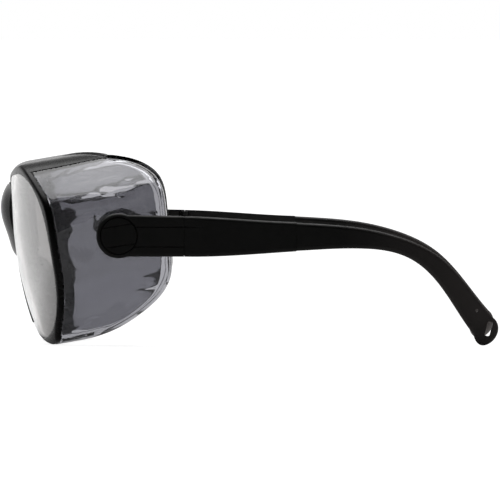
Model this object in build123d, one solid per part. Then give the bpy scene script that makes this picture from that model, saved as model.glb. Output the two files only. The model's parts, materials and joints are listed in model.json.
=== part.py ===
"""Over-the-spectacle safety glasses with ratchet-tilt, folding, telescopic temples.

Row frame, in millimetres: the lenses face -X, +Z is up, and Y runs across the face. The origin is on the
surface that the glasses stand on, under the centre of their box. The wearer's left side is at -Y.

The front group is drawn in its own frame: u runs back along the side shields, w runs up, and the origin is
the left and right temples' pivot axis. The temples are drawn about the same pivot, level with the row frame.
Each piece of a pair is drawn on the +Y side, which is the wearer's right, and mirrored for the left.
"""

from build123d import *
import math
import os

# Overall layout
PIVOT_X = -42.5
PIVOT_Z = 36.15
FRONT_TILT = 9.0

# Ends of a cut that runs right through one side, as distances from the mid-plane, and half of its height
INSIDE = 40.0
OUTSIDE = 90.0
TALL = 20.0

# Lens surface: one wrap radius about an upright axis and one vertical radius, for each eye
WRAP_RADIUS = 107.6
VERTICAL_RADIUS = 140.0
SURFACE_VERTEX_U = -34.8
SURFACE_CENTRE_Y = 18.0
SURFACE_CENTRE_W = -1.0
WRAP_HALF_ANGLE = 46.0
SHELL_HALF_HEIGHT = 36.0

# Depths behind the rim's front surface
LENS_FRONT = 0.3
LENS_BACK = 2.3
LENS_EASING = 0.3
POCKET_BACK = 2.35
BAND_BACK = 1.75
RIM_ROUNDING = 1.2
BAND_OVERLAP = 0.5
FLANGE_BACK = 5.8
POCKET_FRONT = 0.27
FIT_GAP = 0.05

# Front view outlines, in Y and w
EYE_CENTRE_Y = 38.0
LENS_CENTRE_W = -2.5
LENS_HALF_WIDTH = 29.0
LENS_HALF_HEIGHT = 27.3
LENS_POWER = 2.35
NASAL_OUTLINE = [(26, 24.4), (14, 21.5), (9.6, 12), (10.2, 1), (13.6, -10), (20, -20.5), (28.5, -27.6)]
NOSE_ARCH = [(29, -30.6), (21, -24.8), (14.6, -16), (9.6, -7.8), (4.8, -3.4), (0, -2.2)]
LENS_EDGE_IN_POCKET = 0.7
POCKET_MARGIN = 0.75
FLANGE_STEP = 2.05
REAR_OPENING_INSET = 1.4

# Rim, shield and brow surface: sections across u, each with its top and bottom, then the points out over
# the crease and the points down the side
STATIONS = [
    (
        (-40, 27.7, -32.4),
        [(50.5, 25.0), (61, 18.6), (65.4, 14.3), (67, 10.9)],
        [(68.3, 0), (67.6, -11), (63.6, -20.0), (54.5, -28.6)],
    ),
    (
        (-29, 27.7, -32.5),
        [(50.5, 25.0), (61, 18.6), (65.4, 14.3), (67, 10.9)],
        [(68.3, 0), (67.6, -11), (63.6, -20.0), (54.5, -28.6)],
    ),
    (
        (-20, 27.8, -32.5),
        [(50.7, 25.1), (61.2, 18.6), (65.9, 14.5), (67.6, 11.2)],
        [(68.9, 0), (68.3, -11), (64, -20.0), (54.7, -28.6)],
    ),
    (
        (-10, 27.9, -32.2),
        [(51, 25.4), (62, 19.2), (68.2, 14.7), (69.8, 12.4)],
        [(70.8, 0), (70.2, -10.5), (65, -19.4), (55.2, -28.2)],
    ),
    (
        (4, 27.5, -31.8),
        [(51.5, 25.6), (62.5, 19.6), (69.0, 14.8), (70.5, 12.4)],
        [(71.4, 0), (70.8, -10), (65.4, -18.7), (55.5, -27.6)],
    ),
    (
        (19, 27, -31.4),
        [(51.5, 25.4), (62.5, 19.4), (69.0, 14.8), (70.5, 12.4)],
        [(71.4, 0), (70.8, -10), (65.4, -18.3), (55.5, -27)],
    ),
]
WALL = 2.0
ROLL_RADIUS = 4.0
ROLL_DEPTH = 4.6
BROW_HALF_WIDTH = 51.0
BROW_GAP = 0.1
BROW_REAR = [(51, -0.3), (44, -1.6), (33, -7), (19, -12.5), (0, -15)]
CHEEK_EDGE = [(-26, 42), (-14, 43), (-4, 47), (6, 53), (13, 60)]
SIDE_PROFILE_TOP = [
    (-33.6, 21.5), (-32.6, 24.4), (-30.9, 26.4), (-27.9, 27.5), (-22, 27.75), (-9, 27.75), (-3.8, 26.8),
    (0.2, 25.5), (6.8, 23.3), (10.6, 21.3), (13.9, 18.5), (15.8, 15.6),
]
SIDE_PROFILE_REAR = [(16.7, 12), (16.6, 4), (16.5, -6)]
SIDE_PROFILE_BOTTOM = [
    (15.7, -11.6), (14.2, -17), (11.8, -20.4), (7.2, -24.2), (2.8, -26.8), (-5.7, -30.4), (-15, -32.2),
    (-23.5, -32.6), (-27.2, -32.2), (-29.6, -30.7), (-31.3, -28), (-32.4, -24.5),
]

# Bridge and nose
BRIDGE_PROFILE = [(-33.6, 22), (-36, 18.7), (-37.4, 14.5), (-37.3, 9), (-36.4, 4), (-35.5, -1), (-32.8, -4)]
BRIDGE_BACK = -29.5
BRIDGE_BASE = -33.0
BRIDGE_SHARES = [(0, 1.0), (4.5, 0.86), (8.5, 0.42), (12, 0.0)]
NOSE_PAD_THICKNESS = 1.8
NOSE_PAD_FRONT = -32.0
NOSE_PAD_REAR = -22.0
NOSE_PAD_FLARE = 3.2
NOSE_PAD_SIDE = [(-34, -1), (-27, -4.5), (-23.6, -10), (-23, -16), (-25, -21.5), (-30, -25), (-36, -26)]

# Pivot stack: distances from the mid-plane, from the washer inside the shield to the arm's outer face
WASHER_SEAT = 69.4
SHIELD_FLAT = 72.15
BOSS_RADIUS = 6.5
BOSS_DEPTH = 1.4
INNER_BOSS_RADIUS = 4.6
KEY_SIDE = 4.4
PLATE_THICKNESS = 0.6
PLATE_RADIUS = 6.0
ARM_INNER = 72.45
PLATE_POCKET = 73.1
SPRING_SEAT = 75.1
HEAD_UNDERSIDE = 75.7
HEAD_FACE = 77.4
ARM_OUTER = 77.5
SHAFT_RADIUS = 4.0
HEAD_RADIUS = 6.1
POCKET_RADIUS = 6.2
RUNNING_GAP = 0.05
SPRING_THICKNESS = 0.3
STOP_RADIUS = 5.0
STOP_WIDTH = 1.6
STOP_SLOT_WIDTH = 1.1
STOP_SLOT_HALF_ANGLE = 17.0
STOP_SLOT_CUTS = 20
BUMP_TURNS = (70, 160, 250, 340)
BUMP_REACH = 5.2
BUMP_RADIUS = 0.3
BUMP_RISE = 0.2
TEETH = 24
TOOTH_DEPTH = 0.25
SCREW_RADIUS = 1.2
SCREW_HEAD_RADIUS = 2.5
SCREW_HEAD_HEIGHT = 1.3
WASHER_RADIUS = 3.5
WASHER_THICKNESS = 0.6
GROOVE_WIDTH = 0.55
GROOVE_DEPTH = 0.3
GROOVE_TOP = 2.9
GROOVE_BOTTOM = -3.55
HEAD_GROOVE_HALF = 3.3
HEAD_GROOVE_REACH = 4.6

# Temple, about the pivot
DISC_RADIUS = 7.35
ARM_TOP = 6.8
ARM_BOTTOM = -6.83
ARM_TOP_AT_SEAM = 6.4
SEAM_X = 21.4
SEAM_GAP = 0.1
GROOVE_END_X = 27.4
ROUNDING = 1.1
HINGE_Y = 73.6
KNUCKLE_RADIUS = 1.6
KNUCKLE_CLEARANCE = 1.95
KNUCKLE_SPLIT = 2.2
KNUCKLE_TOP = 6.0
KNUCKLE_BOTTOM = -6.5
HINGE_PIN_RADIUS = 0.7
HINGE_HEAD_RADIUS = 1.2
HINGE_HEAD_HEIGHT = 0.7
REAR_SEAM_X = 58.1
REAR_SEAM_GAP = 0.01
LENGTH_TRAVEL = 10.0
TONGUE_FRONT_X = 31.0
TONGUE_Y = 74.35
TONGUE_Z = -0.35
TONGUE_THICKNESS = 1.8
TONGUE_HEIGHT = 6.2
CHANNEL_GAP = 0.06
DETENT_X = 47.0
DETENT_RADIUS = 0.6
DETENT_HEAD_RADIUS = 1.3
DETENT_HEAD = (72.15, 72.55)
PIN_REACH = 1.8
DETENT_STEPS = 4
NOTCH_RADIUS = 0.85

SLEEVE_TOP = [(SEAM_X, 6.37), (36.2, 5.65), (46.6, 4.95), (REAR_SEAM_X, 4.4)]
SLEEVE_BOTTOM = [(SEAM_X, -6.83), (36.2, -6.55), (46.6, -5.9), (REAR_SEAM_X, -5.1)]
SLEEVE_OUTER_PLAN = [(SEAM_X, ARM_OUTER), (REAR_SEAM_X, 76.7)]
SLEEVE_INNER_PLAN = [(SEAM_X, ARM_INNER), (REAR_SEAM_X, 72.0)]
TIP_TOP = [
    (REAR_SEAM_X, 4.25), (70, 3.55), (80, 2.4), (90, 0.1), (98.7, -3.2), (105, -7.0), (112, -13.8),
    (118, -21.4), (122.6, -27.0),
]
TIP_END = [(124.2, -30.4), (122.7, -34.2), (119.6, -36.0)]
TIP_BOTTOM = [
    (116.0, -32.4), (111.6, -26.2), (106.5, -18.4), (101.6, -12.4), (96, -8.0), (89, -5.3), (80, -4.25),
    (69, -4.35), (REAR_SEAM_X, -4.95),
]
TIP_OUTER_PLAN = [(REAR_SEAM_X, 76.65), (75, 75.9), (92, 74.0), (108, 70.6), (126, 65.4)]
TIP_THICKNESS = 4.4
TIP_ROUNDING = 1.2
CORD_SLOT = (121.0, -30.6)
CORD_SLOT_SIZE = (1.7, 4.8)
CORD_SLOT_CORNER = 0.6
CORD_SLOT_TURN = 15.0
TIP_HOLE = (117.1, -24.6)
TIP_HOLE_RADIUS = 0.5

FRONT = Location((PIVOT_X, 0, PIVOT_Z), (0, -FRONT_TILT, 0))
TEMPLE = Location((PIVOT_X, 0, PIVOT_Z))


def signed_power(value, power):
    return math.copysign(abs(value) ** power, value)


def lens_shell(front, back):
    """The doubly curved layer between two depths behind the +Y rim's front surface."""
    centre = WRAP_RADIUS - VERTICAL_RADIUS

    def arc(depth):
        radius = VERTICAL_RADIUS - depth
        reach = math.sqrt(radius**2 - SHELL_HALF_HEIGHT**2)
        top = (centre + reach, SHELL_HALF_HEIGHT)
        bottom = (centre + reach, -SHELL_HALF_HEIGHT)
        return top, (centre + radius, 0), bottom

    outer, inner = arc(front), arc(back)
    edges = [
        ThreePointArc(*outer),
        Line(outer[2], inner[2]),
        ThreePointArc(*inner[::-1]),
        Line(inner[0], outer[0]),
    ]
    start = math.radians(180 - WRAP_HALF_ANGLE)
    radial = Vector(math.cos(start), math.sin(start), 0)
    origin = (SURFACE_VERTEX_U + WRAP_RADIUS, SURFACE_CENTRE_Y, SURFACE_CENTRE_W)
    plane = Plane(origin=origin, x_dir=radial, z_dir=radial.cross(Vector(0, 0, 1)))
    return revolve(plane * make_face(edges), Axis(origin, (0, 0, 1)), 2 * WRAP_HALF_ANGLE)


def front_view(face, low=-60.0, high=30.0):
    """A face drawn in Y and w, run through the front along u."""
    return extrude(Plane.YZ.offset(low) * face, high - low)


def side_view(face, low, high):
    """A face drawn in x (or u) and z (or w), run across from one distance from the mid-plane to another."""
    upright = Plane(origin=(0, low, 0), x_dir=(1, 0, 0), z_dir=(0, -1, 0))
    return extrude(upright * face, -(high - low))


def plan_view(face, low=-60.0, high=60.0):
    """A face drawn in x (or u) and Y, run upwards."""
    return extrude(Plane.XY.offset(low) * face, high - low)


def box_between(low, high):
    size = [b - a for a, b in zip(low, high)]
    middle = [(a + b) / 2 for a, b in zip(low, high)]
    return Pos(*middle) * Box(*size)


def across(x, z, radius, low, high):
    """A cylinder along Y between two distances from the mid-plane."""
    place = Plane(origin=(x, low, z), x_dir=(1, 0, 0), z_dir=(0, 1, 0))
    return extrude(place * Circle(radius), high - low)


def upright(x, y, radius, low, high):
    """A cylinder along Z."""
    return extrude(Plane.XY.offset(low) * Pos(x, y) * Circle(radius), high - low)


def quarter(centre_y, centre_w, half_width, height, power, steps, rising=True):
    """Points of a quarter superellipse, from its top or bottom out to its side, or back."""
    points = []
    for step in range(steps + 1):
        angle = math.pi / 2 * (1 - step / steps)
        y = centre_y + half_width * signed_power(math.cos(angle), 2 / power)
        w = centre_w + height * signed_power(math.sin(angle), 2 / power)
        points.append((y, w))
    return points if rising else points[::-1]


def grown(points, amount, closed=False):
    """Points of a clockwise outline, each moved outwards by an amount (or inwards, if negative)."""
    count = len(points)
    moved = []
    for i, (y, w) in enumerate(points):
        before = points[(i - 1) % count] if closed or i > 0 else points[0]
        after = points[(i + 1) % count] if closed or i < count - 1 else points[-1]
        dy, dw = after[0] - before[0], after[1] - before[1]
        length = math.hypot(dy, dw)
        moved.append((y - amount * dw / length, w + amount * dy / length))
    return moved


def lens_outline(growth=0.0):
    top = quarter(EYE_CENTRE_Y, LENS_CENTRE_W, LENS_HALF_WIDTH, LENS_HALF_HEIGHT, LENS_POWER, 6)
    bottom = quarter(EYE_CENTRE_Y, LENS_CENTRE_W, LENS_HALF_WIDTH, -LENS_HALF_HEIGHT, LENS_POWER, 6, False)
    points = top + bottom[1:] + NASAL_OUTLINE[::-1]
    return make_face(Spline(*grown(points, growth, closed=True), periodic=True))


def section_edges(station, growth=0.0):
    """The curve over the top, side and bottom of one section, and its two ends on the eye's centre line."""
    (_, top, bottom), over, down = station
    outline = [(EYE_CENTRE_Y, top), *over, *down, (EYE_CENTRE_Y, bottom)]
    moved = grown(outline, growth)
    start, end = (EYE_CENTRE_Y, top + growth), (EYE_CENTRE_Y, bottom - growth)
    return Spline(start, *moved[1:-1], end, tangents=[(1, 0), (-1, 0)]), start, end


def frame_outline(growth=0.0):
    """The outer outline around the +Y eye, as far as the mid-plane."""
    curve, start, end = section_edges(STATIONS[0], growth)
    nose = grown([end, *NOSE_ARCH], growth)
    nose[0] = end
    nose[-1] = (0, NOSE_ARCH[-1][1] - growth)
    outline = [
        Line((0, start[1]), start),
        curve,
        Spline(*nose, tangents=[(-1, 0), (-1, 0)]),
        Line(nose[-1], (0, start[1])),
    ]
    return make_face(outline)


def cup_section(station, growth):
    """The area inside the shield and brow surface on the +Y side at one u."""
    curve, start, end = section_edges(station, growth)
    straight = Polyline(end, (0, end[1]), (0, start[1]), start)
    return Plane.YZ.offset(station[0][0]) * make_face([curve, *straight.edges()])


def cup(growth=0.0):
    """Everything inside the shield and brow surface on the +Y side."""
    return loft([cup_section(station, growth) for station in STATIONS])


def side_profile(growth=0.0):
    """The whole front group's outline from the side."""
    moved = grown(SIDE_PROFILE_TOP + SIDE_PROFILE_REAR + SIDE_PROFILE_BOTTOM, growth)
    first = len(SIDE_PROFILE_TOP)
    last = first + len(SIDE_PROFILE_REAR)
    top, rear, bottom = moved[:first], moved[first - 1 : last + 1], moved[last:]
    front = Polyline(bottom[-1], (-45, -22), (-45, 20), top[0])
    return make_face([Spline(*top), Spline(*rear), Spline(*bottom), *front.edges()])


def rolled_cup(growth, radius):
    """The cup, ended by the side profile, with its rear edge rounded."""
    solid = cup(growth) & side_view(side_profile(growth), EYE_CENTRE_Y, OUTSIDE)
    rear_edges = [e for e in solid.edges() if e.center().X > -3 and e.center().Y > BROW_HALF_WIDTH]
    return fillet(rear_edges, radius)


def rim_half():
    """The +Y rim: a rounded front band, a lens pocket and the flange that the shield and brow sit on."""
    band = lens_shell(0, BAND_BACK) & front_view(frame_outline())
    front_face = band.faces().sort_by(Axis.X)[0]
    rim = fillet([e for e in front_face.edges() if e.center().Y > 1], RIM_ROUNDING)
    rim += lens_shell(BAND_BACK, FLANGE_BACK) & front_view(frame_outline(-FLANGE_STEP))
    rim -= lens_shell(-3, BAND_BACK) & front_view(lens_outline())
    opening = front_view(lens_outline(-REAR_OPENING_INSET))
    rim -= lens_shell(BAND_BACK - BAND_OVERLAP, FLANGE_BACK + 3) & opening
    rim -= lens_shell(POCKET_FRONT, POCKET_BACK) & front_view(lens_outline(POCKET_MARGIN))
    return rim


def brow_half():
    """The opaque brow guard that runs back from the top of the rim."""
    rear = Spline(*[(u, y) for y, u in BROW_REAR])
    plan = make_face(
        [
            rear,
            Line((BROW_REAR[-1][1], 0), (-45, 0)),
            Line((-45, 0), (-45, BROW_HALF_WIDTH)),
            Line((-45, BROW_HALF_WIDTH), (BROW_REAR[0][1], BROW_HALF_WIDTH)),
        ]
    )
    brow = (cup() - cup(-WALL)) & plan_view(plan, 5, 40)
    return brow - lens_shell(-20, BAND_BACK - BAND_OVERLAP)


def bridge():
    """The raised bridge between the lenses, as a smooth swelling."""
    sections = []
    for y, share in [(-y, share) for y, share in BRIDGE_SHARES[:0:-1]] + BRIDGE_SHARES:
        points = [(BRIDGE_BASE + share * (min(u, BRIDGE_BASE) - BRIDGE_BASE), w) for u, w in BRIDGE_PROFILE]
        back = Polyline(points[-1], (BRIDGE_BACK, points[-1][1]), (BRIDGE_BACK, points[0][1]), points[0])
        face = make_face([Spline(*points), *back.edges()])
        sections.append(Plane(origin=(0, y, 0), x_dir=(1, 0, 0), z_dir=(0, -1, 0)) * face)
    outline = frame_outline()
    return loft(sections) & front_view(outline + mirror(outline, Plane.YZ))


def nose_pad():
    """The flared nose pad on the +Y side, moulded with the frame and rounded at its rear."""
    arch = NOSE_ARCH[1:-1]
    inner_end = (arch[-1][0] + 0.4, arch[-1][1] + NOSE_PAD_THICKNESS)
    inner = [(y + 1.2, w + NOSE_PAD_THICKNESS * 0.75) for y, w in arch[:-1]] + [inner_end]
    band = make_face([Spline(*arch), Line(arch[-1], inner_end), Spline(*inner), Line(inner[0], arch[0])])
    front = Plane.YZ.offset(NOSE_PAD_FRONT) * band
    rear = Plane.YZ.offset(NOSE_PAD_REAR) * Pos(NOSE_PAD_FLARE, -0.4) * band
    side = [Spline(*NOSE_PAD_SIDE), Line(NOSE_PAD_SIDE[-1], NOSE_PAD_SIDE[0])]
    return loft([front, rear]) & side_view(make_face(side), 0, INSIDE)


def front_frame():
    lens_space = lens_shell(-20, POCKET_BACK) & front_view(lens_outline(POCKET_MARGIN))
    half = rim_half() + (brow_half() - lens_space) + (nose_pad() - lens_space)
    whole = half + mirror(half, Plane.XZ) + (bridge() - lens_space - mirror(lens_space, Plane.XZ))
    return whole & side_view(side_profile(), -OUTSIDE, OUTSIDE)


def lens():
    """One lens, with its front edge eased."""
    blank = lens_shell(LENS_FRONT, LENS_BACK) & front_view(lens_outline(LENS_EDGE_IN_POCKET))
    front_face = blank.faces().sort_by(Axis.X)[0]
    return fillet(front_face.edges(), LENS_EASING)


def side_shield():
    """The tinted shield: brow wing, side wall and cheek wing, with a boss for the pivot."""
    shield = rolled_cup(0, ROLL_RADIUS) - rolled_cup(-WALL, ROLL_RADIUS - WALL) - cup(-ROLL_DEPTH)
    shield -= box_between((-60, 0, 5), (30, BROW_HALF_WIDTH + BROW_GAP, 60))
    edge = Spline(*CHEEK_EDGE)
    first, last = CHEEK_EDGE[0], CHEEK_EDGE[-1]
    inner = Polyline(last, (40, last[1]), (40, 0), (-60, 0), (-60, first[1]), first)
    shield -= plan_view(make_face([edge, *inner.edges()]), -60, 5)
    shield -= lens_shell(-30, BAND_BACK + FIT_GAP)
    shield -= lens_shell(0, FLANGE_BACK + FIT_GAP) & front_view(frame_outline(FIT_GAP - FLANGE_STEP))
    shield -= lens_shell(0, POCKET_BACK) & front_view(lens_outline(POCKET_MARGIN))
    shield += across(0, 0, BOSS_RADIUS, SHIELD_FLAT - BOSS_DEPTH, SHIELD_FLAT)
    shield += across(0, 0, INNER_BOSS_RADIUS, WASHER_SEAT, SHIELD_FLAT - 1)
    shield -= across(0, 0, INNER_BOSS_RADIUS, WASHER_SEAT - 4, WASHER_SEAT)
    shield -= square_key(RUNNING_GAP, WASHER_SEAT - 1, SHIELD_FLAT + 1)
    return shield


def square_key(gap, low, high):
    half = KEY_SIDE / 2 + gap
    return box_between((-half, low, -half), (half, high, half))


def ratchet_plate():
    """The toothed steel plate that sits on the shield's boss."""
    top = SHIELD_FLAT + PLATE_THICKNESS
    plate = across(0, 0, PLATE_RADIUS, SHIELD_FLAT, top) - square_key(RUNNING_GAP, SHIELD_FLAT - 1, top + 1)
    for tooth in range(TEETH):
        groove = box_between((4.4, top - TOOTH_DEPTH, -0.22), (PLATE_RADIUS + 1, top + 1, 0.22))
        plate -= Rot(0, 360 * tooth / TEETH, 0) * groove
    return plate


def pivot_hub():
    """The fixed hub: a keyed shaft with a flat head and a bar across it, outlined by two grooves."""
    shoulder = SHIELD_FLAT + PLATE_THICKNESS + 0.02
    hub = square_key(0, WASHER_SEAT + RUNNING_GAP, shoulder)
    hub += across(0, 0, SHAFT_RADIUS, shoulder, HEAD_UNDERSIDE)
    head = across(0, 0, HEAD_RADIUS, HEAD_UNDERSIDE, HEAD_FACE)
    hub += chamfer(head.edges().sort_by(Axis.Y)[-1], 0.3)
    low, high = PLATE_POCKET + RUNNING_GAP, SPRING_SEAT - RUNNING_GAP
    hub += box_between((-STOP_WIDTH / 2, low, 0), (STOP_WIDTH / 2, high, STOP_RADIUS - 0.1))
    for height in (HEAD_GROOVE_HALF, -HEAD_GROOVE_HALF):
        hub -= groove(-HEAD_GROOVE_REACH, HEAD_GROOVE_REACH, height, HEAD_FACE)
    return hub - across(0, 0, SCREW_RADIUS, WASHER_SEAT - 1, HEAD_FACE - 1)


def detent_spring():
    """A dished steel spring between the arm and the hub's head."""
    inner, outer = SHAFT_RADIUS + 0.15, POCKET_RADIUS - 0.3
    low, high = SPRING_SEAT + RUNNING_GAP, HEAD_UNDERSIDE - RUNNING_GAP - SPRING_THICKNESS
    rise = SPRING_THICKNESS
    edges = Polyline((inner, high), (inner, high + rise), (outer, low + rise), (outer, low), (inner, high))
    return revolve(make_face(edges), Axis.Y)


def pivot_washer():
    low = WASHER_SEAT - WASHER_THICKNESS
    washer = across(0, 0, WASHER_RADIUS, low, WASHER_SEAT)
    return washer - across(0, 0, SCREW_RADIUS + 0.1, low - 1, WASHER_SEAT + 1)


def pivot_screw():
    """The cross-recessed screw that draws the hub against the shield."""
    seat = WASHER_SEAT - WASHER_THICKNESS
    head = across(0, 0, SCREW_HEAD_RADIUS, seat - SCREW_HEAD_HEIGHT, seat)
    head = fillet(head.edges().sort_by(Axis.Y)[0], 0.8)
    screw = head + across(0, 0, SCREW_RADIUS - 0.02, seat, HEAD_UNDERSIDE)
    for turn in (45, 135):
        arm = box_between((-1.5, seat - SCREW_HEAD_HEIGHT - 1, -0.25), (1.5, seat - 0.6, 0.25))
        screw -= Rot(0, turn, 0) * arm
    return screw


def groove(front, rear, height, face):
    """A shallow V along x (or u), to be cut into an outer face at its distance from the mid-plane."""
    lip = GROOVE_WIDTH / 2
    rim = face + GROOVE_DEPTH / 10
    edges = Polyline((rim, height + lip), (face - GROOVE_DEPTH, height), (rim, height - lip), close=True)
    return extrude(Plane.YZ.offset(front) * make_face(edges), rear - front)


def end_piece():
    """The arm between the tilt pivot and the fold hinge."""
    rear = SEAM_X - SEAM_GAP / 2
    start = math.sqrt(DISC_RADIUS**2 - ARM_TOP**2)
    top = [(rear, ARM_TOP_AT_SEAM), (start, ARM_TOP), (0, ARM_TOP)]
    arm = make_face(Polyline((0, ARM_BOTTOM), (rear, ARM_BOTTOM), *top, close=True))
    piece = side_view(Circle(DISC_RADIUS) + arm, ARM_INNER, ARM_OUTER)
    outer_face = piece.faces().sort_by(Axis.Y)[-1]
    piece = fillet([e for e in outer_face.edges() if e.center().X < rear - SEAM_GAP], ROUNDING)
    for height in (GROOVE_TOP, GROOVE_BOTTOM):
        piece -= groove(0, SEAM_X, height, ARM_OUTER)
    piece -= across(0, 0, POCKET_RADIUS, SPRING_SEAT, ARM_OUTER + 2)
    piece -= across(0, 0, POCKET_RADIUS, ARM_INNER - 1, PLATE_POCKET)
    piece -= across(0, 0, SHAFT_RADIUS + RUNNING_GAP, ARM_INNER, ARM_OUTER)
    piece -= stop_slot()
    for turn in BUMP_TURNS:
        bump = across(BUMP_REACH, 0, BUMP_RADIUS, PLATE_POCKET - BUMP_RISE, PLATE_POCKET + 0.5)
        piece += Rot(0, turn, 0) * bump
    cheek = ARM_INNER - 2, HINGE_Y + 0.25
    piece -= box_between((SEAM_X - KNUCKLE_CLEARANCE, cheek[0], -TALL), (SEAM_X + 5, cheek[1], TALL))
    piece -= hinge_clearance(-KNUCKLE_SPLIT - RUNNING_GAP, KNUCKLE_SPLIT + RUNNING_GAP)
    piece += hinge_knuckle(KNUCKLE_SPLIT + RUNNING_GAP, KNUCKLE_TOP)
    piece += hinge_knuckle(KNUCKLE_BOTTOM, -KNUCKLE_SPLIT - RUNNING_GAP)
    piece -= upright(SEAM_X, HINGE_Y, HINGE_PIN_RADIUS + 0.02, -TALL, TALL)
    piece -= upright(SEAM_X, HINGE_Y, HINGE_HEAD_RADIUS + 0.1, KNUCKLE_TOP - HINGE_HEAD_HEIGHT, TALL)
    return piece


def stop_slot():
    """The curved slot that the hub's stop runs in, as straight cuts turned about the pivot."""
    half = STOP_SLOT_WIDTH / 2
    cut = box_between((-half, PLATE_POCKET - 1, 0), (half, SPRING_SEAT + 1, STOP_RADIUS))
    cuts = []
    for i in range(STOP_SLOT_CUTS + 1):
        turn = STOP_SLOT_HALF_ANGLE * (2 * i / STOP_SLOT_CUTS - 1) - FRONT_TILT
        cuts.append(Rot(0, turn, 0) * cut)
    return cuts


def hinge_knuckle(low, high):
    """One knuckle of the fold hinge."""
    return upright(SEAM_X, HINGE_Y, KNUCKLE_RADIUS, low, high)


def hinge_clearance(low, high):
    return upright(SEAM_X, HINGE_Y, KNUCKLE_CLEARANCE, low, high)


def hinge_screw():
    """The slotted screw down through the fold hinge."""
    low = KNUCKLE_TOP - HINGE_HEAD_HEIGHT
    screw = upright(SEAM_X, HINGE_Y, HINGE_PIN_RADIUS, KNUCKLE_BOTTOM, low)
    screw += upright(SEAM_X, HINGE_Y, HINGE_HEAD_RADIUS, low, KNUCKLE_TOP)
    slot = (SEAM_X - 2, HINGE_Y - 0.15, KNUCKLE_TOP - 0.35), (SEAM_X + 2, HINGE_Y + 0.15, KNUCKLE_TOP + 1)
    return screw - box_between(*slot)


def bar_between(top, bottom, outer, inner):
    """A bar cut from a side outline and a plan outline, each given as two edges."""
    side = [Spline(*top), Line(top[-1], bottom[-1]), Spline(*bottom), Line(bottom[0], top[0])]
    plan = [Spline(*outer), Line(outer[-1], inner[-1]), Spline(*inner), Line(inner[0], outer[0])]
    return side_view(make_face(side), INSIDE, OUTSIDE) & plan_view(make_face(plan))


def temple_sleeve():
    """The hollow middle of the temple."""
    front = SEAM_X + SEAM_GAP / 2
    sleeve = bar_between(SLEEVE_TOP, SLEEVE_BOTTOM, SLEEVE_OUTER_PLAN, SLEEVE_INNER_PLAN)
    outer_edges = [e for e in sleeve.edges() if e.length > 30 and e.center().Y > TONGUE_Y]
    sleeve = fillet(outer_edges, ROUNDING)
    sleeve -= groove(SEAM_X - 1, GROOVE_END_X, GROOVE_TOP, ARM_OUTER)
    sleeve -= box_between((SEAM_X - 1, INSIDE, -TALL), (front, OUTSIDE, TALL))
    sleeve -= hinge_clearance(KNUCKLE_SPLIT, TALL)
    sleeve -= hinge_clearance(-TALL, -KNUCKLE_SPLIT)
    sleeve += hinge_knuckle(-KNUCKLE_SPLIT, KNUCKLE_SPLIT)
    sleeve -= upright(SEAM_X, HINGE_Y, HINGE_PIN_RADIUS + RUNNING_GAP, -TALL, TALL)
    sleeve -= tongue_block(CHANNEL_GAP, TONGUE_FRONT_X - 1, REAR_SEAM_X + 1)
    sleeve -= across(DETENT_X, TONGUE_Z, DETENT_RADIUS + 0.01, INSIDE, TONGUE_Y + PIN_REACH + 0.1)
    sleeve -= across(DETENT_X, TONGUE_Z, DETENT_HEAD_RADIUS + 0.05, INSIDE, DETENT_HEAD[1] + 0.05)
    return sleeve


def tongue_block(gap, front, rear):
    half_y, half_z = TONGUE_THICKNESS / 2 + gap, TONGUE_HEIGHT / 2 + gap
    low = (front, TONGUE_Y - half_y, TONGUE_Z - half_z)
    return box_between(low, (rear, TONGUE_Y + half_y, TONGUE_Z + half_z))


def length_detent():
    """The steel pin that the tongue's notched slot runs over."""
    pin = across(DETENT_X, TONGUE_Z, DETENT_RADIUS, DETENT_HEAD[0], TONGUE_Y + PIN_REACH)
    return pin + across(DETENT_X, TONGUE_Z, DETENT_HEAD_RADIUS, *DETENT_HEAD)


def temple_tip():
    """The rear of the temple: a tongue in the sleeve, a straight run and the curved ear end."""
    inner_plan = [(x, y - TIP_THICKNESS + 0.15 * i) for i, (x, y) in enumerate(TIP_OUTER_PLAN)]
    end = Spline(TIP_TOP[-1], *TIP_END, TIP_BOTTOM[0])
    side = [Spline(*TIP_TOP), end, Spline(*TIP_BOTTOM), Line(TIP_BOTTOM[-1], TIP_TOP[0])]
    plan = [
        Spline(*TIP_OUTER_PLAN),
        Line(TIP_OUTER_PLAN[-1], inner_plan[-1]),
        Spline(*inner_plan),
        Line(inner_plan[0], TIP_OUTER_PLAN[0]),
    ]
    tip = side_view(make_face(side), INSIDE, OUTSIDE) & plan_view(make_face(plan))
    edges = [e for e in tip.edges() if e.length > 5.5 and e.center().X > REAR_SEAM_X + 0.5]
    tip = fillet(edges, TIP_ROUNDING)
    tip -= box_between((REAR_SEAM_X - 1, INSIDE, -TALL), (REAR_SEAM_X + REAR_SEAM_GAP, OUTSIDE, TALL))
    tongue = tongue_block(0, TONGUE_FRONT_X, REAR_SEAM_X + 4)
    tongue = chamfer(tongue.faces().sort_by(Axis.X)[0].edges(), 0.4)
    slot_rear = DETENT_X + DETENT_RADIUS + 0.05
    slot_front = DETENT_X - LENGTH_TRAVEL - DETENT_RADIUS - 0.05
    height = DETENT_RADIUS + 0.06
    tongue -= box_between((slot_front, INSIDE, TONGUE_Z - height), (slot_rear, OUTSIDE, TONGUE_Z + height))
    for step in range(DETENT_STEPS):
        x = DETENT_X - LENGTH_TRAVEL * step / (DETENT_STEPS - 1)
        tongue -= across(x, TONGUE_Z, NOTCH_RADIUS, INSIDE, OUTSIDE)
    tip += tongue
    slot = Rot(0, 0, -CORD_SLOT_TURN) * RectangleRounded(*CORD_SLOT_SIZE, CORD_SLOT_CORNER)
    tip -= Pos(CORD_SLOT[0], 0, CORD_SLOT[1]) * side_view(slot, INSIDE, OUTSIDE)
    return tip - across(*TIP_HOLE, TIP_HOLE_RADIUS, INSIDE, OUTSIDE)


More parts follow.
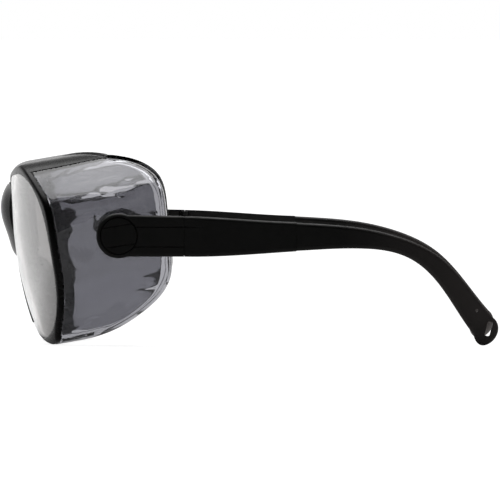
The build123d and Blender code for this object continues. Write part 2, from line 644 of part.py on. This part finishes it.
def save(name, shape, place):
    """Write the wearer's right piece and its mirrored left twin."""
    placed = place * shape
    export_step(placed, f"parts/{name}_right.step")
    export_step(mirror(placed, Plane.XZ), f"parts/{name}_left.step")


def main():
    os.makedirs("parts", exist_ok=True)
    export_step(FRONT * front_frame(), "parts/front_frame.step")
    save("lens", lens(), FRONT)
    save("side_shield", side_shield(), FRONT)
    save("ratchet_plate", ratchet_plate(), FRONT)
    save("pivot_hub", pivot_hub(), FRONT)
    save("detent_spring", detent_spring(), FRONT)
    save("pivot_screw", pivot_screw(), FRONT)
    save("pivot_washer", pivot_washer(), FRONT)
    save("end_piece", end_piece(), TEMPLE)
    save("hinge_screw", hinge_screw(), TEMPLE)
    save("temple_sleeve", temple_sleeve(), TEMPLE)
    save("length_detent", length_detent(), TEMPLE)
    save("temple_tip", temple_tip(), TEMPLE)


main()
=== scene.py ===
"""Safety glasses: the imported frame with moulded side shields, finished materials, studio light and a camera.

The glasses lie along X, from the front at -X to the temple tips at +X. The wearer's left is at -Y."""

import bpy
import json
import math
import numpy as np
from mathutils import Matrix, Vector
from mathutils.bvhtree import BVHTree

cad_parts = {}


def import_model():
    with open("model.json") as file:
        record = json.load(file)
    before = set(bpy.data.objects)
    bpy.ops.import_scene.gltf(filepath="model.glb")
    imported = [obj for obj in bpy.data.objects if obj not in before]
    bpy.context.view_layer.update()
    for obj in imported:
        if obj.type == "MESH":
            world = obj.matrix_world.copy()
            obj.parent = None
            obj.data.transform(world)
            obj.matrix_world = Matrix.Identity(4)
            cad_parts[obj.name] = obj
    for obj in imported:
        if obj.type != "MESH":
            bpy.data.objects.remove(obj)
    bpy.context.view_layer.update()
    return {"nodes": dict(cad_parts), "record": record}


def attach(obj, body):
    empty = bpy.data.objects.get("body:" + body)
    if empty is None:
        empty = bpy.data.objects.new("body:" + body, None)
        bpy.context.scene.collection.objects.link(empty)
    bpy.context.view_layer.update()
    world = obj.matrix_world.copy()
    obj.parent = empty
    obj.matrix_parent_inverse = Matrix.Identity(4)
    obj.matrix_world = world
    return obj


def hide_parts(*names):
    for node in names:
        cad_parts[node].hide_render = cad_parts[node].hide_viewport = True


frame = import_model()
NODES = frame["nodes"]
BODIES = frame["record"]["behaviour"]["bodies"]
NODE_BODY = {node: body for body, members in BODIES.items() for node in members}
NODE_SLOT = {part["node"]: part["material_slot"] for part in frame["record"]["subparts"]}
SIDES = ("left", "right")
MM = 0.001

# Painted light: the temples' colour grows lighter and warmer towards the ear, between these two places along
# X, as though lit there.
PAINTED_LIGHT_FROM, PAINTED_LIGHT_TO = 30 * MM, 75 * MM

# The moulded shields: the size of a facet, the steps of smoothing that ease an edge and settle the surface,
# and how far from the CAD surface a point may be and still be drawn back on to it.
SHIELD_CELL = 0.32 * MM
EASING_STEPS = 4
SETTLING_STEPS = 3
SHIELD_KEEP = 0.12 * MM
WELD_DISTANCE = 0.002 * MM

# The floor. Reflections find it dark in front of the object, and its glow rises between two places along Y.
FLOOR_SIZE = 30
FLOOR_GREY = (0.45, 0.45, 0.45, 1)
FLOOR_GLOW = 0.75
GLOW_FROM, GLOW_TO = -70 * MM, 50 * MM
FLOOR_SEEN = 0.9

# The room. Reflections find its bright wall behind the object, fading to dim towards the camera and above.
# WALL_EDGE is the cosine of a ray's angle from BRIGHT_WALL, and the ceiling's two of that from straight up.
BRIGHT_WALL = Vector((-0.1, 0.99, 0.05)).normalized()
WALL_EDGE = 0.9
DIM_WALL = 0.015
CEILING_FROM, CEILING_TO = 0.12, 0.4
CEILING = 0.2

SUN_DIRECTION = (0.05, -0.35, -1)
SUN_SPREAD = math.radians(60)
SUN_STRENGTH = 1.6

HALF_VIEW = math.radians(0.62)
VIEW_WIDTH = 163.4 * MM
VIEW_TURN, VIEW_DROP = math.radians(0.1), math.radians(0.9)
VIEW_CENTRE = Vector((0.4 * MM, -75 * MM, 31.5 * MM))


# Shader building blocks

def new_material(name):
    material = bpy.data.materials.new(name)
    material.use_nodes = True
    return material, material.node_tree, material.node_tree.nodes["Principled BSDF"]


def noise(tree, cells, detail):
    """Noise in object space, with its number of cells in a metre."""
    place = tree.nodes.new("ShaderNodeTexCoord")
    texture = tree.nodes.new("ShaderNodeTexNoise")
    texture.inputs["Scale"].default_value = cells
    texture.inputs["Detail"].default_value = detail
    tree.links.new(place.outputs["Object"], texture.inputs["Vector"])
    return texture.outputs["Fac"]


def coordinate(tree, space, axis):
    """One coordinate: of the point in "Object" space, or of the ray in the world's "Generated" space."""
    place = tree.nodes.new("ShaderNodeTexCoord")
    split = tree.nodes.new("ShaderNodeSeparateXYZ")
    tree.links.new(place.outputs[space], split.inputs["Vector"])
    return split.outputs[axis]


def spread(tree, source, low, high, start=0.3, end=0.7, curve="LINEAR"):
    """A value stretched from low at the start of its range to high at the end. Noise has the usual range."""
    stretch = tree.nodes.new("ShaderNodeMapRange")
    stretch.interpolation_type = curve
    stretch.inputs["From Min"].default_value = start
    stretch.inputs["From Max"].default_value = end
    stretch.inputs["To Min"].default_value = low
    stretch.inputs["To Max"].default_value = high
    tree.links.new(source, stretch.inputs["Value"])
    return stretch.outputs["Result"]


def combined(tree, operation, first, second):
    node = tree.nodes.new("ShaderNodeMath")
    node.operation = operation
    tree.links.new(first, node.inputs[0])
    tree.links.new(second, node.inputs[1])
    return node.outputs["Value"]


def bump(tree, height, distance, strength, edge_radius=0.0):
    """A bumpy normal, on edges that look eased where a radius is given."""
    node = tree.nodes.new("ShaderNodeBump")
    node.inputs["Distance"].default_value = distance
    node.inputs["Strength"].default_value = strength
    tree.links.new(height, node.inputs["Height"])
    if edge_radius:
        eased = tree.nodes.new("ShaderNodeBevel")
        eased.samples = 8
        eased.inputs["Radius"].default_value = edge_radius
        tree.links.new(eased.outputs["Normal"], node.inputs["Normal"])
    return node.outputs["Normal"]


def tint(tree, source, dark, light):
    ramp = tree.nodes.new("ShaderNodeValToRGB")
    for element, position, colour in zip(ramp.color_ramp.elements, (0.35, 0.65), (dark, light)):
        element.position = position
        element.color = (*colour, 1)
    tree.links.new(source, ramp.inputs["Fac"])
    return ramp.outputs["Color"]


# Materials

def gloss_black():
    material, tree, shader = new_material("gloss_black_nylon")
    cloud = noise(tree, cells=90, detail=4)
    colour = tint(tree, cloud, dark=(0.004, 0.0038, 0.004), light=(0.007, 0.0065, 0.0065))
    roughness = spread(tree, noise(tree, cells=600, detail=4), low=0.24, high=0.3)
    ripple = bump(tree, noise(tree, cells=70, detail=1), 0.06 * MM, strength=0.2, edge_radius=0.7 * MM)
    shader.inputs["Specular IOR Level"].default_value = 0.2
    tree.links.new(colour, shader.inputs["Base Color"])
    tree.links.new(roughness, shader.inputs["Roughness"])
    tree.links.new(ripple, shader.inputs["Normal"])
    return material


def matte_black():
    """Black nylon with a fine grain, and a painted light that makes it lighter and warmer towards the ear."""
    material, tree, shader = new_material("matte_black_nylon")
    cloud = noise(tree, cells=60, detail=5)
    colour = tree.nodes.new("ShaderNodeMix")
    colour.data_type = "RGBA"
    # Painted light: a lighter, warmer colour mixed in towards the ear along X.
    pale = spread(tree, coordinate(tree, "Object", "X"), low=0, high=1, start=PAINTED_LIGHT_FROM, end=PAINTED_LIGHT_TO)
    black = tint(tree, cloud, dark=(0.0062, 0.006, 0.0055), light=(0.0098, 0.0094, 0.0087))
    painted_light_tint = tint(tree, cloud, dark=(0.075, 0.066, 0.063), light=(0.095, 0.084, 0.08))
    tree.links.new(pale, colour.inputs["Factor"])
    tree.links.new(black, colour.inputs["A"])
    tree.links.new(painted_light_tint, colour.inputs["B"])
    roughness = spread(tree, noise(tree, cells=420, detail=4), low=0.4, high=0.56)
    grain = bump(tree, noise(tree, cells=5200, detail=2), 0.03 * MM, strength=0.55, edge_radius=0.3 * MM)
    shader.inputs["Specular IOR Level"].default_value = 0.36
    tree.links.new(colour.outputs["Result"], shader.inputs["Base Color"])
    tree.links.new(roughness, shader.inputs["Roughness"])
    tree.links.new(grain, shader.inputs["Normal"])
    return material


def smoke(name, colour, smooth, rough, waviness, coat=0.0):
    """Clear smoke polycarbonate, tinted at each surface, with a hard coat on a lens."""
    material, tree, shader = new_material(name)
    shader.inputs["Base Color"].default_value = (*colour, 1)
    shader.inputs["Transmission Weight"].default_value = 1.0
    shader.inputs["IOR"].default_value = 1.58
    shader.inputs["Coat Weight"].default_value = coat
    shader.inputs["Coat IOR"].default_value = 2.0
    shader.inputs["Coat Roughness"].default_value = 0.02
    roughness = spread(tree, noise(tree, cells=150, detail=5), low=smooth, high=rough)
    ripple = bump(tree, noise(tree, cells=30, detail=1), 0.08 * MM, strength=waviness)
    tree.links.new(roughness, shader.inputs["Roughness"])
    tree.links.new(ripple, shader.inputs["Normal"])
    return material


def steel():
    material, tree, shader = new_material("plated_steel")
    cloud = noise(tree, cells=700, detail=3)
    colour = tint(tree, cloud, dark=(0.5, 0.5, 0.51), light=(0.66, 0.66, 0.67))
    roughness = spread(tree, noise(tree, cells=1800, detail=3), low=0.2, high=0.38)
    grain = bump(tree, noise(tree, cells=4000, detail=2), 0.02 * MM, strength=0.4)
    shader.inputs["Metallic"].default_value = 1.0
    tree.links.new(colour, shader.inputs["Base Color"])
    tree.links.new(roughness, shader.inputs["Roughness"])
    tree.links.new(grain, shader.inputs["Normal"])
    return material


MATERIALS = {
    "frame_gloss": gloss_black(),
    "temple_matte": matte_black(),
    "lens_smoke": smoke("lens_smoke", (0.38, 0.364, 0.36), smooth=0.0, rough=0.012, waviness=0.03, coat=0.62),
    "shield_smoke": smoke("shield_smoke", (0.33, 0.33, 0.355), smooth=0.01, rough=0.05, waviness=0.15),
    "steel": steel(),
}


def finish_cad_nodes():
    for node, slot in NODE_SLOT.items():
        mesh = NODES[node].data
        mesh.materials.clear()
        mesh.materials.append(MATERIALS[slot])


# Moulded shields

def evaluated(piece):
    """Bake the piece's modifiers into its mesh."""
    graph = bpy.context.evaluated_depsgraph_get()
    mesh = bpy.data.meshes.new_from_object(piece.evaluated_get(graph))
    piece.modifiers.clear()
    piece.data = mesh
    return mesh


def smoothed(piece, steps):
    smooth = piece.modifiers.new("smooth", "SMOOTH")
    smooth.factor = 0.5
    smooth.iterations = steps
    return evaluated(piece)


def on_curved_surface(cad, points):
    """Points moved on to the curved surface that a CAD mesh's triangles and normals describe. Those further
    from it than SHIELD_KEEP are moved less, and at twice that not at all."""
    surface = BVHTree.FromPolygons([v.co for v in cad.vertices], [list(p.vertices) for p in cad.polygons])
    hits = [surface.find_nearest(point) for point in points]
    points, near = np.array(points), np.array([hit[0] for hit in hits])
    triangle, distance = np.array([hit[2] for hit in hits]), np.array([hit[3] for hit in hits])
    corners = np.array([p.vertices for p in cad.polygons])[triangle]
    corners = np.array([v.co for v in cad.vertices])[corners]
    normals = np.array([n.vector for n in cad.corner_normals]).reshape(-1, 3, 3)[triangle]
    area = np.cross(corners[:, 1] - corners[:, 0], corners[:, 2] - corners[:, 0])
    squared_area = np.maximum((area * area).sum(1), 1e-30)
    curved = near.copy()
    # Halfway to the planes that touch the corners, each corner counted by how near it is.
    for i in range(3):
        opposite, last = corners[:, (i + 1) % 3], corners[:, (i + 2) % 3]
        share = (np.cross(opposite - near, last - near) * area).sum(1) / squared_area
        height = ((near - corners[:, i]) * normals[:, i]).sum(1)
        curved -= 0.5 * (share * height)[:, None] * normals[:, i]
    hold = np.clip(2 - distance / SHIELD_KEEP, 0, 1)[:, None]
    return points + hold * (curved - points)


def moulded(node):
    """Replace a CAD piece by a copy with even facets and eased edges, still on the CAD surface elsewhere."""
    source = NODES[node]
    piece = bpy.data.objects.new(node + "_moulded", source.data.copy())
    bpy.context.scene.collection.objects.link(piece)
    weld = piece.modifiers.new("weld", "WELD")
    weld.merge_threshold = WELD_DISTANCE
    even = piece.modifiers.new("even", "REMESH")
    even.mode = "VOXEL"
    even.voxel_size = SHIELD_CELL
    mesh = smoothed(piece, EASING_STEPS)
    settled = on_curved_surface(source.data, [vertex.co for vertex in mesh.vertices])
    mesh.vertices.foreach_set("co", settled.ravel())
    mesh = smoothed(piece, SETTLING_STEPS)
    mesh.shade_smooth()
    mesh.materials.clear()
    mesh.materials.append(source.data.materials[0])
    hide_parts(node)
    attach(piece, NODE_BODY[node])


# Stage

def where_seen(tree):
    """1 for rays straight from the camera or through a clear piece, 0 for reflected and scattered ones."""
    path = tree.nodes.new("ShaderNodeLightPath")
    return combined(tree, "MAXIMUM", path.outputs["Is Camera Ray"], path.outputs["Is Transmission Ray"])


def floor():
    """A pale floor, white where it is seen."""
    bpy.ops.mesh.primitive_plane_add(size=FLOOR_SIZE, location=(0, 0, 0))
    plane = bpy.context.object
    plane.name = "floor"
    material, tree, shader = new_material("pale_floor")
    shader.inputs["Base Color"].default_value = FLOOR_GREY
    shader.inputs["Roughness"].default_value = 0.9
    shader.inputs["Specular IOR Level"].default_value = 0
    shader.inputs["Emission Color"].default_value = (1, 1, 1, 1)
    across = coordinate(tree, "Object", "Y")
    behind = spread(tree, across, low=0, high=FLOOR_GLOW, start=GLOW_FROM, end=GLOW_TO)
    seen = spread(tree, where_seen(tree), low=0, high=FLOOR_SEEN, start=0, end=1)
    tree.links.new(combined(tree, "MAXIMUM", behind, seen), shader.inputs["Emission Strength"])
    plane.data.materials.append(material)


def world():
    """A room that is white where it is seen, with one bright wall and a dim rest in reflections."""
    room = bpy.data.worlds.new("studio")
    bpy.context.scene.world = room
    room.use_nodes = True
    tree = room.node_tree
    place = tree.nodes.new("ShaderNodeTexCoord")
    facing = tree.nodes.new("ShaderNodeVectorMath")
    facing.operation = "DOT_PRODUCT"
    facing.inputs[1].default_value = BRIGHT_WALL
    tree.links.new(place.outputs["Generated"], facing.inputs[0])
    toward = facing.outputs["Value"]
    wall = spread(tree, toward, low=DIM_WALL, high=1, start=0, end=WALL_EDGE, curve="SMOOTHSTEP")
    height = coordinate(tree, "Generated", "Z")
    shade = spread(tree, height, low=1, high=CEILING, start=CEILING_FROM, end=CEILING_TO)
    reflected = combined(tree, "MULTIPLY", wall, shade)
    background = tree.nodes["Background"]
    background.inputs["Color"].default_value = (1, 1, 1, 1)
    tree.links.new(combined(tree, "MAXIMUM", where_seen(tree), reflected), background.inputs["Strength"])


def sun():
    """A lamp far above, as soft as a large softbox."""
    data = bpy.data.lights.new("overhead", "SUN")
    data.angle = SUN_SPREAD
    data.energy = SUN_STRENGTH
    lamp = bpy.data.objects.new("overhead", data)
    lamp.rotation_euler = Vector(SUN_DIRECTION).to_track_quat("-Z", "Y").to_euler()
    bpy.context.scene.collection.objects.link(lamp)


def camera():
    """A long lens from the wearer's left, slightly ahead of square and slightly above level."""
    level = math.cos(VIEW_DROP)
    forward = Vector((math.sin(VIEW_TURN) * level, math.cos(VIEW_TURN) * level, -math.sin(VIEW_DROP)))
    data = bpy.data.cameras.new("camera")
    data.lens = data.sensor_width / 2 / math.tan(HALF_VIEW)
    data.clip_end = 100
    lens = bpy.data.objects.new("camera", data)
    lens.location = VIEW_CENTRE - forward * (VIEW_WIDTH / 2 / math.tan(HALF_VIEW))
    lens.rotation_euler = forward.to_track_quat("-Z", "Y").to_euler()
    bpy.context.scene.collection.objects.link(lens)
    bpy.context.scene.camera = lens


finish_cad_nodes()
for side in SIDES:
    moulded(f"side_shield_{side}")
floor()
world()
sun()
camera()
bpy.context.scene.view_settings.view_transform = "Standard"
